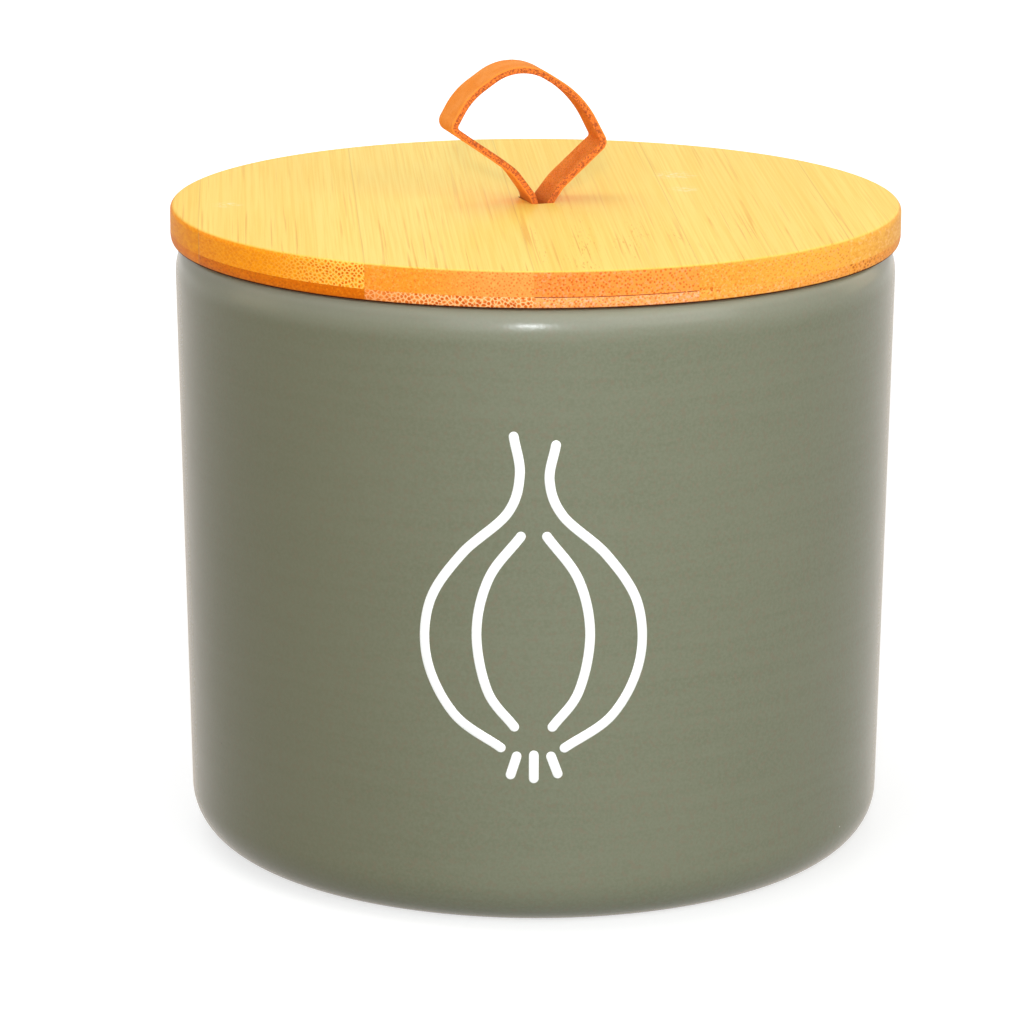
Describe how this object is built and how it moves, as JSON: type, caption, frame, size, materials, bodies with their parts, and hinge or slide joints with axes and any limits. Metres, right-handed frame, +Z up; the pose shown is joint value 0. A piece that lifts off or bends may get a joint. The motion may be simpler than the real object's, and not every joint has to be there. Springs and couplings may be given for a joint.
{
  "type": "garlic keeper",
  "caption": "Round glazed stoneware jar with a flat laminated bamboo lid, a sealing plug under it, air holes at the back and a leather loop to lift the lid by.",
  "frame": {"origin": "centre of the jar's foot, on the surface it stands on", "axes": "+Z up through the centre of the lid, -Y the front, +X to the right seen from the front"},
  "size_m": [0.125, 0.125, 0.1354],
  "materials": {
    "stoneware_glaze": "satin sage-grey glaze, bare clay on the foot ring",
    "bamboo_upper": "oiled",
    "bamboo_lower": "oiled, darker strips",
    "bamboo_plug": "oiled",
    "silicone": "translucent milky",
    "leather": "vegetable-tanned, cut edges",
    "steel": "plain"
  },
  "bodies": {
    "jar": {"stoneware_jar": "stoneware_glaze"},
    "lid": {"upper_stave_1": "bamboo_upper", "upper_stave_2": "bamboo_upper", "upper_stave_3": "bamboo_upper", "upper_stave_4": "bamboo_upper", "upper_stave_5": "bamboo_upper", "upper_stave_6": "bamboo_upper", "lower_stave_1": "bamboo_lower", "lower_stave_2": "bamboo_lower", "lower_stave_3": "bamboo_lower", "lower_stave_4": "bamboo_lower", "lower_stave_5": "bamboo_lower", "lower_stave_6": "bamboo_lower", "plug_stave_1": "bamboo_plug", "plug_stave_2": "bamboo_plug", "plug_stave_3": "bamboo_plug", "plug_stave_4": "bamboo_plug", "plug_stave_5": "bamboo_plug", "silicone_seal": "silicone", "strap_tail_left": "leather", "strap_tail_right": "leather", "tail_screws": "steel"},
    "handle": {"strap_loop": "leather"}
  },
  "joints": [
    {"name": "lid_lift", "type": "slide", "parent": "jar", "child": "lid", "axis": [0, 0, 1], "range_m": [0, 0.06]},
    {"name": "loop_lean", "type": "hinge", "parent": "lid", "child": "handle", "pos_m": [0, 0, 0.1128], "axis": [-0.342, 0.9397, 0], "range_deg": [-30, 30], "stiffness_Nm_per_rad": 0.002}
  ]
}
